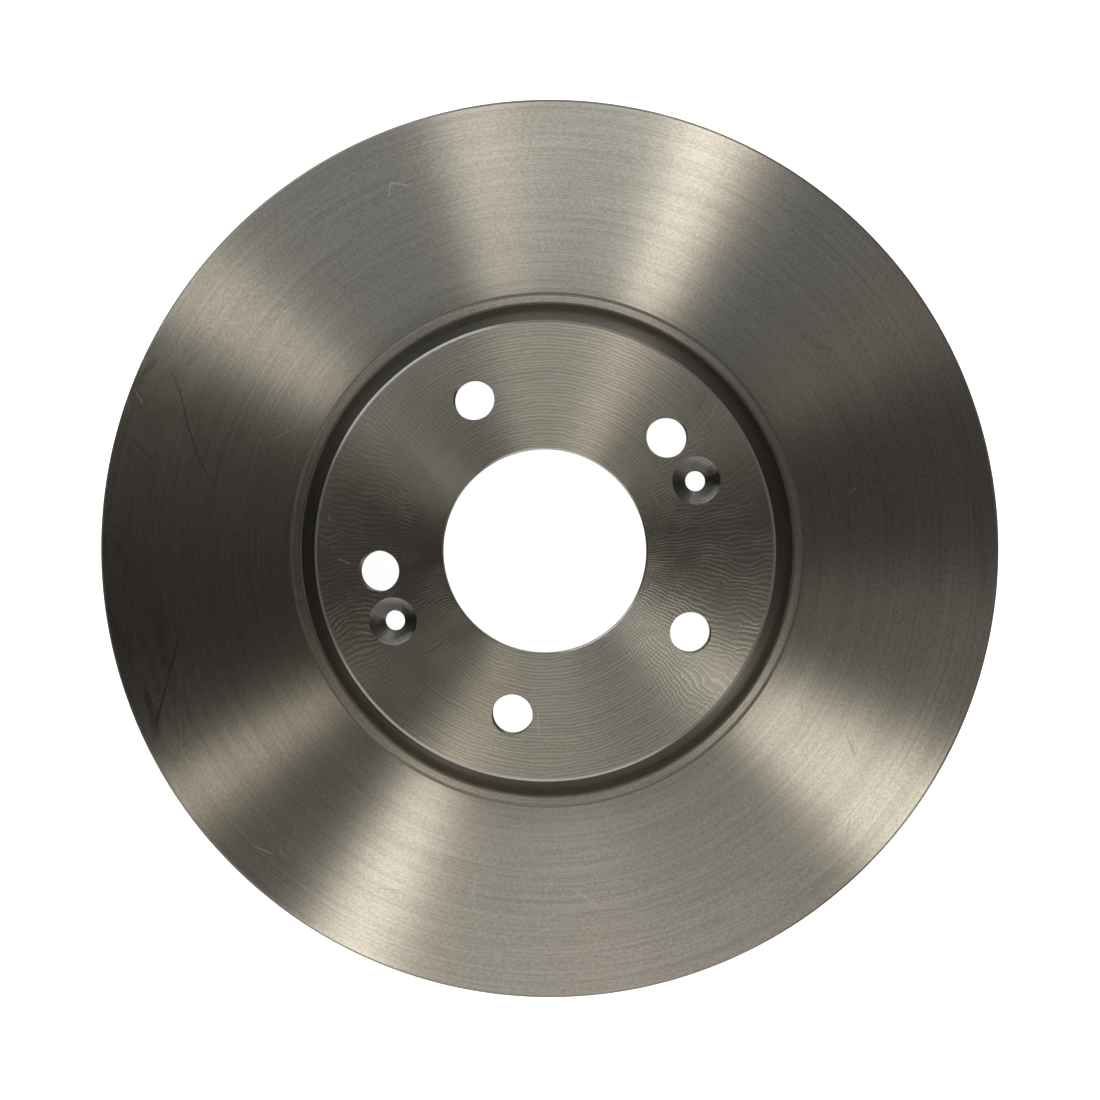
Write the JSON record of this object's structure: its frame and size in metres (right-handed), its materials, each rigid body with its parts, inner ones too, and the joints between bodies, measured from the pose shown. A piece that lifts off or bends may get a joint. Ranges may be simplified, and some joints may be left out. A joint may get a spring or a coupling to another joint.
{
  "type": "vented brake disc",
  "caption": "Vented brake disc with a raised hat, a ring of wheel stud holes, countersunk retaining screw holes and straight radial cooling vanes.",
  "frame": {"origin": "on the disc's axis, in the plane of the hub seat, which is the inside face of the hub flange and the centre of the stud hole circle", "axes": "+Z along the axis of rotation, from the hub towards the wheel; +X through the centre of one stud hole"},
  "size_m": [0.32, 0.32, 0.048],
  "materials": {
    "machined_hub_face": "face turned, fine concentric tool marks with slight chatter, lightly oiled",
    "turned_hat_side": "turned outside, sand cast inside",
    "turned_groove": "turned groove above, sand cast underneath",
    "machined_friction_face": "fine turned friction face with concentric marks, cast surface on the vent side",
    "machined_inboard_face": "fine turned friction face with concentric marks, cast surface on the vent side",
    "cast_surface": "rough sand casting, dark grey"
  },
  "bodies": {
    "root": {"hub_flange": "machined_hub_face", "hat_wall": "turned_hat_side", "neck_web": "turned_groove", "outboard_plate": "machined_friction_face", "inboard_plate": "machined_inboard_face", "cooling_vanes": "cast_surface"}
  },
  "joints": []
}
